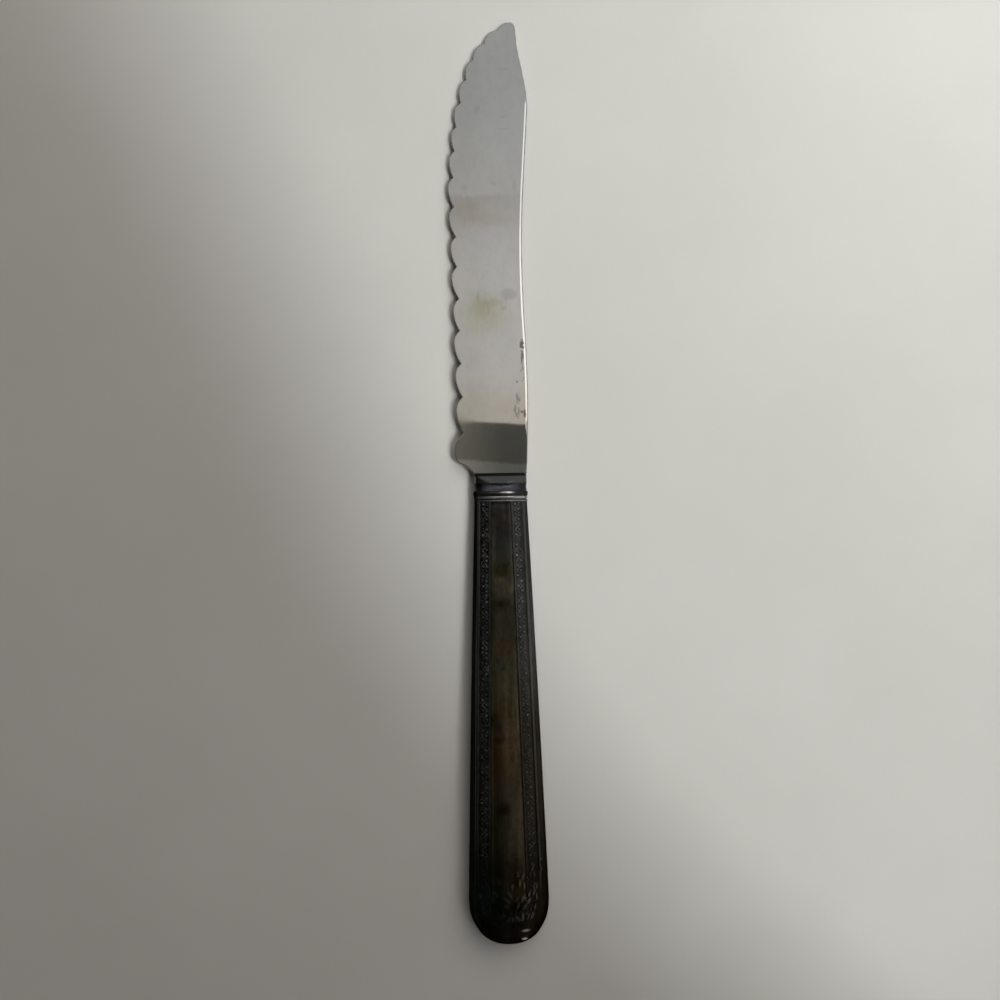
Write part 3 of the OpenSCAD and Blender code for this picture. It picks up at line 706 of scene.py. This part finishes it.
def relief_height(x, y, w):
    """Height of the stamped work over the plain surface, then how raised, how hollow and how much panel it is."""
    ax = np.abs(x)
    bi, bo = band_in(y), band_out(y)
    mid, half = (bi + bo) / 2, (bo - bi) / 2
    # the long bands run out softly into the butt's leaves
    start = smoothstep(-7.30, -7.60, y)
    live = start * smoothstep(BAND_END, BAND_END + 5.0, y)
    inside = smoothstep(0.0, 0.14, half - np.abs(ax - mid)) * live
    h = -0.15 * inside
    work = band_relief((ax - mid) * np.sign(x + 1e-9) / np.maximum(half / 1.15, 0.1), y) * inside
    # thin fillet on the inner side, and outside the band a wider one that ends in a round loop
    inner = dome(ax - (bi - 0.20), 0.19, 0.07) * start * smoothstep(-113.0, -105.0, y)
    drop = np.clip(FILLET_END - y, 0, None)
    reach = np.hypot(ax - (bo + 0.72), drop)
    outer = dome(reach, 0.46, 0.19) * start * smoothstep(-111.0, -104.0, y)
    ring = dome(reach - 0.62, 0.16, 0.13) * start * smoothstep(-111.0, -102.0, y)
    zone = smoothstep(-100.0, -106.0, y) * smoothstep(-122.2, -119.0, y) * smoothstep(10.2, 8.4, ax)
    butt = spray(x, y) * smoothstep(-99.5, -102.0, y) * smoothstep(-120.4, -118.6, y)
    h = h + np.maximum(work, butt) + inner + outer - ring - 0.23 * zone
    vine = np.clip((work - 0.085) / 0.09, 0, 1)
    raised = inner / 0.07 * 0.30 + outer / 0.19 * 0.5 + np.clip((butt - 0.04) / 0.12, 0, 1)
    line = dome(ax - (bi - 0.56), 0.15, 1.0) * start * smoothstep(BAND_END - 3.0, BAND_END + 2.0, y)
    hollow = inside * np.clip(1.25 - work / 0.13, 0, 1) + ring / 0.13 + 0.6 * line + 0.12 * zone * np.clip(1 - butt / 0.06, 0, 1)
    panel = smoothstep(bi - 0.30, bi - 0.75, ax) * smoothstep(-7.2, -8.4, y) * smoothstep(-118.0, -109.0, y)
    near = 0.44 * smoothstep(-50.0, -26.0, y)
    side = smoothstep(bo + 1.12 - near, bo + 1.32 - near, ax)
    return h, np.clip(raised, 0, 1), np.clip(hollow, 0, 1), panel, side, vine


def shell(name, stands_for, flip):
    # rows
    ys = [np.linspace(MOUTH_Y, -7.35, 46)[:-1], np.arange(-7.35, BAND_END, -0.1365), np.arange(BAND_END, ROUND_Y, -0.20)]
    ys = np.concatenate(ys)
    t = np.sin(np.linspace(0, 1, 44) * np.pi / 2)[:-1]
    t = np.concatenate([t, [0.9993]])
    row_y = np.concatenate([ys, np.full(len(t), ROUND_Y)])
    row_t = np.concatenate([np.zeros(len(ys)), t])
    shrink = (1 - row_t ** POW_R) ** (1 / POW_R)
    W = half_w(row_y) * shrink
    T = half_t(row_y) * shrink
    real_y = row_y - row_t * ROUND_LEN
    # columns: shares of the half width, dense in the bands
    key_y = np.clip(row_y, BAND_END, -7.35)
    kw = half_w(key_y)
    bi, bo = band_in(key_y), band_out(key_y)
    keys = np.stack([np.ones_like(kw), (bo + 1.50) / kw, (bo + 0.30) / kw, bo / kw, bi / kw, (bi - 0.45) / kw], 1)
    keys[:, 1] = np.minimum(keys[:, 1], 0.972)
    counts = (7, 8, 3, 20, 4)
    shares = []
    for s, nn in enumerate(counts):
        q = np.arange(nn) / nn
        if s == 0:      # the rounded side, evenly by angle
            a0 = np.zeros(len(kw))
            a1 = np.arccos(np.clip(keys[:, 1], 0, 1) ** (POW_S / 2))
            shares.append(np.cos(a0[:, None] + (a1 - a0)[:, None] * q[None, :]) ** (2 / POW_S))
        else:
            shares.append(keys[:, s, None] * (1 - q) + keys[:, s + 1, None] * q)
    right = np.concatenate(shares, 1)
    centre = keys[:, 5, None] * np.linspace(1, -1, 31)[None, :]
    frac = np.concatenate([right, centre, -right[:, ::-1]], 1)
    nc = frac.shape[1]
    X = frac * W[:, None]
    f, part_x, part_z = section(frac)
    Z = SEAM + np.maximum(T[:, None] - SEAM, 0.0) * f
    Y = np.repeat(real_y[:, None], nc, 1)
    # outward direction across the section, and along it on the butt
    Wc, Tc = np.maximum(W, 1e-3)[:, None], np.maximum(T, 1e-3)[:, None]
    nx = part_x / Wc
    nz = part_z / Tc
    ny = -np.where(row_t > 0, row_t ** (POW_R - 1) / ROUND_LEN, 0)[:, None] * np.ones((1, nc))
    ln = np.sqrt(nx ** 2 + ny ** 2 + nz ** 2)
    h, raised, hollow, panel, side, vine = relief_height(X, Y, W[:, None])
    ring = np.repeat(collar(row_y)[:, None], nc, 1) * (row_t[:, None] == 0)
    # The work fades out at the seam, so that the two halves meet
    fade = smoothstep(0.0, 0.9, Z - SEAM)
    d = h * fade + ring
    P = np.stack([X + nx / ln * d, Y + ny / ln * d, Z + np.where(f > 1e-6, nz / ln * d, 0)], 2)
    P[:, :, 2] = np.maximum(P[:, :, 2], SEAM)
    hol = np.clip(hollow * fade + np.clip(-ring / 0.13, 0, 1) * 0.9, 0, 1)
    rai = np.clip(raised * fade + np.clip(ring / 0.25, 0, 1) * 0.35, 0, 1)
    # inner face of the stamping, plain
    inner_rows = np.concatenate([np.arange(0, len(ys), 40), [len(ys) - 1], np.arange(len(ys) + 2, len(row_y), 4)])
    inner_cols = np.unique(np.concatenate([np.arange(0, nc, 5), [nc - 1]]))
    iW = W[inner_rows] * (1 - WALL / half_w(row_y[inner_rows]))
    iT = T[inner_rows] * (1 - WALL / half_t(row_y[inner_rows]))
    iy = row_y[inner_rows] - row_t[inner_rows] * (ROUND_LEN - WALL)
    nr, ni, nj = len(row_y), len(inner_rows), len(inner_cols)
    ang = np.linspace(0, np.pi, nj)
    ca, sa = np.cos(ang), np.sin(ang)
    IX = iW[:, None] * (np.sign(ca) * np.abs(ca) ** (2 / POW_S))[None, :]
    IZ = SEAM + np.maximum(iT - SEAM, 0)[:, None] * (np.abs(sa) ** (2 / POW_S))[None, :]
    IY = np.repeat(iy[:, None], nj, 1)
    outer_v = P.reshape(-1, 3)
    inner_v = np.stack([IX, IY, IZ], 2).reshape(-1, 3)
    tip_o, tip_i = nr * nc, nr * nc + 1
    base = nr * nc + 2
    verts = np.concatenate([outer_v, [(0, -HANDLE_LEN, SEAM), (0, -HANDLE_LEN + WALL, SEAM)], inner_v])
    faces = []
    for r in range(nr - 1):
        a = r * nc
        for c in range(nc - 1):
            faces.append((a + c, a + c + 1, a + nc + c + 1, a + nc + c))
    for c in range(nc - 1):
        faces.append(((nr - 1) * nc + c, (nr - 1) * nc + c + 1, tip_o))
    for r in range(ni - 1):
        a = base + r * nj
        for c in range(nj - 1):
            faces.append((a + c, a + nj + c, a + nj + c + 1, a + c + 1))
    for c in range(nj - 1):
        faces.append((base + (ni - 1) * nj + c, tip_i, base + (ni - 1) * nj + c + 1))
    # rim at the mouth and the two seam faces, as strips with many points on one side
    mouth = tuple(range(nc - 1, -1, -1)) + tuple(base + c for c in range(nj))
    faces.append(mouth)
    right_o = [r * nc for r in range(nr)] + [tip_o]
    left_o = [r * nc + nc - 1 for r in range(nr)] + [tip_o]
    right_i = [base + r * nj for r in range(ni)] + [tip_i]
    left_i = [base + r * nj + nj - 1 for r in range(ni)] + [tip_i]
    faces.append(tuple(right_o + right_i[::-1]))
    faces.append(tuple(left_o[::-1] + left_i))
    nv = len(verts)
    relief_v, hollow_v, panel_v, side_v, vine_v = (np.zeros(nv) for _ in range(5))
    vine_v[:nr * nc] = vine.reshape(-1)
    panel_v[:nr * nc] = panel.reshape(-1)
    side_v[:nr * nc] = side.reshape(-1)
    relief_v[:nr * nc] = rai.reshape(-1)
    hollow_v[:nr * nc] = hol.reshape(-1)
    if flip:
        verts = verts * np.array([-1, 1, -1])
    ob = make(name, verts, faces, [PLATE], stands_for, sharp=50, attrs={"relief": relief_v, "hollow": hollow_v, "panel": panel_v, "side": side_v, "vine": vine_v})
    return ob


# ------------------------------------------------------------------ bolster
def bolster():
    n = 144
    front, lip, shoulder = -0.3, BLADE_T + 0.35, 2.2
    neck_w, neck_t, waist, end_y = 7.0, 3.0, 0.30, -8.6
    ang = np.linspace(0, 2 * np.pi, n, endpoint=False)
    ca, sa = np.cos(ang), np.sin(ang)
    rings = []

    def oval(y, w, t, cap, power=POW_S, flat=FLAT):
        px = np.sign(ca) * np.abs(ca) ** (2 / power)
        pz = np.sign(sa) * np.minimum(1, (np.abs(sa) / math.cos(flat)) ** (2 / power))
        rings.append(np.stack([w * px, np.full(n, y), np.clip(t * pz, -cap, cap)], 1))

    # the front edge is slightly broken, then the plane shoulder, its soft edge, the waisted neck
    oval(front, neck_w - 0.10, neck_t, lip - 0.10, 1.8, 0)
    for k in range(0, 15):
        f = k / 14
        oval(front - 0.06 - (shoulder - 0.06) * f, neck_w - 0.03 * (1 - f), neck_t, lip + (neck_t - 0.04 - lip) * f, 1.8, 0)
    for k in range(1, 25):
        f = k / 24
        t = neck_t + 0.35 * f - waist * math.sin(math.pi * f)
        oval(front - shoulder + (MOUTH_Y - front + shoulder) * f, neck_w - 0.12 * math.sin(math.pi * f), t, 9, 1.8 + (POW_S - 1.8) * f, FLAT * f)
    for y in (MOUTH_Y - 0.001, -6.0, end_y + 0.3):
        oval(y, half_w(y) - WALL - 0.1, half_t(y) - WALL - 0.1, 9)
    oval(end_y, half_w(end_y) - WALL - 0.35, half_t(end_y) - WALL - 0.35, 9)
    m = len(rings)
    # slot for the tang
    sw, st = 4.1, 0.7
    q = n // 8
    slot = []
    for k in range(n):
        j = (k + q) % n
        side, f = j // (2 * q), (j % (2 * q)) / (2 * q)
        slot.append([(sw, -st + 2 * st * f), (sw - 2 * sw * f, st), (-sw, st - 2 * st * f), (-sw + 2 * sw * f, -st)][side])
    slot = np.array(slot)
    for y in (front, end_y):
        rings.append(np.stack([slot[:, 0], np.full(n, y), slot[:, 1]], 1))
    verts = np.concatenate(rings)
    # both ends of the front edge come forward to the blade
    verts[:, 1] += 0.27 * smoothstep(6.45, 6.75, np.abs(verts[:, 0])) * smoothstep(front - 0.30, front, verts[:, 1])
    faces = []
    for r in range(m - 1):
        for k in range(n):
            a, b = r * n + k, r * n + (k + 1) % n
            faces.append((a, b, b + n, a + n))
    i0 = m * n
    for k in range(n):
        a, b = i0 + k, i0 + (k + 1) % n
        faces.append((a, a + n, b + n, b))
        faces.append((k, a, b, (k + 1) % n))
        e, g = (m - 1) * n + k, (m - 1) * n + (k + 1) % n
        faces.append((e, g, b + n, a + n))
    return make("bolster_neck", verts, faces, [NECK], "bolster", sharp=32)


blade()
shell("handle_front_stamping", "handle_front_shell", False)
shell("handle_back_stamping", "handle_back_shell", True)
bolster()
for name, mat in (("seam_solder", SOLDER), ("mouth_solder", SOLDER), ("tang_solder", SOLDER), ("tang_cement", CEMENT)):
    ob = NODES[name]
    ob.data.materials.clear()
    ob.data.materials.append(mat)


# ------------------------------------------------------------------ floor, light and camera
def plane(name, size_x, size_y, mat, cuts=1):
    me = bpy.data.meshes.new(name)
    xs, ys = np.linspace(-size_x / 2, size_x / 2, cuts + 1), np.linspace(-size_y / 2, size_y / 2, cuts + 1)
    v = [(a, b, 0) for b in ys for a in xs]
    f = [(j * (cuts + 1) + i, j * (cuts + 1) + i + 1, (j + 1) * (cuts + 1) + i + 1, (j + 1) * (cuts + 1) + i)
         for j in range(cuts) for i in range(cuts)]
    me.from_pydata(v, [], f)
    me.materials.append(mat)
    ob = bpy.data.objects.new(name, me)
    bpy.context.scene.collection.objects.link(ob)
    return ob


# The knife lies on the underside of its handle, with the tip almost down: the floor leans by that much
butt_y, bead_y = (ROUND_Y + MID_Y) * MM, (MOUTH_Y - 0.65 + MID_Y) * MM
bead_z = (MID_Z - half_t(MOUTH_Y - 0.65) - 0.25) * MM
slope = math.atan2(bead_z - 0.00002, bead_y - butt_y)
floor = plane("floor", 6.0, 6.0, floor_material())
floor.rotation_euler = (slope, 0, 0)
floor.location = (0, butt_y, -0.00012)


def area(name, at, to, size_x, size_y, power, color):
    d = bpy.data.lights.new(name, "AREA")
    d.shape = "RECTANGLE"
    d.size, d.size_y = size_x, size_y
    d.energy = power
    d.color = color
    ob = bpy.data.objects.new(name, d)
    ob.location = at
    ob.rotation_euler = (Vector(to) - Vector(at)).to_track_quat("-Z", "Y").to_euler()
    ob.visible_camera = False
    bpy.context.scene.collection.objects.link(ob)
    return ob


# The window lights the table; its image in the metal is a panel of its own, so that it can be shaded
KEY = (0.34, -0.18, 0.80)
window = area("window", KEY, (0.05, 0.13, 0.0), 0.25, 0.25, 1.43, (1.0, 1.045, 1.045))
window.data.spread = math.radians(110)
window.visible_glossy = False
sky = area("sky", (0.38, 0.66, 1.20), (-0.04, -0.10, 0.0), 1.25, 1.25, 9.40, (1.0, 0.968, 0.930))
sky.visible_glossy = False
corner = area("corner_lamp", (0.25, 0.20, 0.25), (0.25, 0.25, 0.0), 0.12, 0.12, 0.17, (1.0, 1.045, 1.045))
corner.data.spread = math.radians(120)
corner.visible_glossy = False
ceiling = area("ceiling", (0.05, 0.42, 0.95), (0.05, 0.42, 0.0), 0.95, 0.95, 0.95, (1.0, 0.985, 0.95))
ceiling.visible_diffuse = False
pane = area("window_pane", (0.33, 0.3605, 1.15), (0.0, 0.3605, 0.0), 0.28, 0.519, 0.483, (1.0, 0.99, 0.97))
pane.rotation_euler = (0, math.radians(16.7), 0)
pane.visible_diffuse = False
glint = area("low_window", (0.324, -1.049, 0.085), (0.004, -0.119, 0.010), 0.16, 0.13, 0.15, (1.0, 0.99, 0.97))
glint.visible_diffuse = False
side_window = area("side_window", (0.414, -0.897, 0.480), (0.004, -0.117, 0.011), 0.24, 0.12, 0.006, (1.0, 0.99, 0.97))
side_window.visible_diffuse = False

# A card over the camera, which the polished steel mirrors: deeper at its lower left, paler in its top left corner
card_tree = Tree("card_cloth")
cx, cy, cz = card_tree.axis()
weave = card_tree.ramp(card_tree.noise(30, 3), [(0.3, (0.220, 0.246, 0.266)), (0.7, (0.256, 0.284, 0.306))])
deep = card_tree.math("MULTIPLY", card_tree.step(cy, 0.13, 0.07), card_tree.step(cx, 0.0, -0.06))
pale = card_tree.math("MULTIPLY", card_tree.step(cy, 0.185, 0.205), card_tree.step(cx, -0.026, -0.062))
weave = card_tree.mix(pale, weave, (0.62, 0.645, 0.660))
card_mat = card_tree.surface(card_tree.mix(deep, weave, (0.05, 0.052, 0.050)), 0.9, 0.0)
card = plane("dark_card", 0.29, 0.46, card_mat)
card.location = (0.015, 0.0360 - 0.23, 0.292)
card.rotation_euler = (0, 0, math.radians(-4.4))
card.visible_camera = card.visible_shadow = card.visible_diffuse = False
# A flag that shades the lower left of the floor, cut along a curve: points of its shadow's edge on the floor
edge = np.array(catmull([(-0.640, 1.200), (-0.365, 0.660), (-0.199, 0.330), (-0.143, 0.220), (-0.094, 0.123), (-0.0625, 0.059), (-0.035, -0.006), (-0.009, -0.050), (0.023, -0.095),
                         (0.069, -0.139), (0.128, -0.187), (0.222, -0.248), (0.420, -0.360), (0.900, -0.600)], 6))
flag_z = 0.150 + 0.085 * smoothstep(0.07, 0.29, edge[:, 1])       # it rises to the upper left, where the shadow's edge is softer
share = (flag_z / KEY[2])[:, None]
edge = edge * (1 - share) + np.array(KEY[:2]) * share
far = edge + np.array([-1.2, -0.8])
flag_me = bpy.data.meshes.new("flag")
flag_me.from_pydata(np.column_stack([np.concatenate([edge, far]), np.tile(flag_z, 2)]).tolist(), [],
                    [(i, i + 1, len(edge) + i + 1, len(edge) + i) for i in range(len(edge) - 1)])
flag_me.materials.append(card_mat)
flag = bpy.data.objects.new("flag", flag_me)
bpy.context.scene.collection.objects.link(flag)
flag.visible_camera = flag.visible_glossy = flag.visible_diffuse = False
# the flag stands in the way of the window, not of the soft light from above or of the one that glints on the butt
passed = bpy.data.collections.new("let_through")
passed.objects.link(flag)
passed.collection_objects[0].light_linking.link_state = "EXCLUDE"
sky.light_linking.blocker_collection = side_window.light_linking.blocker_collection = passed

# The room is lighter on the window's side
world = bpy.data.worlds.new("studio")
world.use_nodes = True
wt = world.node_tree
side = wt.nodes.new("ShaderNodeVectorMath")
side.operation = "DOT_PRODUCT"
wt.links.new(wt.nodes.new("ShaderNodeTexCoord").outputs["Generated"], side.inputs[0])
side.inputs[1].default_value = (0.80, 0.55, 0.20)
level = wt.nodes.new("ShaderNodeMapRange")
level.interpolation_type = "SMOOTHSTEP"
wt.links.new(side.outputs["Value"], level.inputs["Value"])
for key, value in (("From Min", -0.75), ("From Max", 0.8), ("To Min", 0.02), ("To Max", 0.52)):
    level.inputs[key].default_value = value
wt.nodes["Background"].inputs[0].default_value = (0.95, 0.97, 1.0, 1)
wt.links.new(level.outputs["Result"], wt.nodes["Background"].inputs[1])
bpy.context.scene.world = world
world.cycles_visibility.diffuse = False

# Straight down, with the knife leaning a little in the frame; 1000 px across at 0.2662 mm a pixel
cam = bpy.data.cameras.new("camera")
cam.sensor_fit = "HORIZONTAL"
cam.sensor_width = 36.0
cam.lens = 36.0
cam.clip_start, cam.clip_end = 0.005, 20
cam_ob = bpy.data.objects.new("camera", cam)
cam_ob.location = (-0.00019, (MID_Y - 7.0) * MM, MID_Z * MM + 0.2662)
cam_ob.rotation_euler = (0, 0, -math.atan(0.0208))
bpy.context.scene.collection.objects.link(cam_ob)
bpy.context.scene.camera = cam_ob
bpy.context.scene.view_settings.view_transform = "Standard"
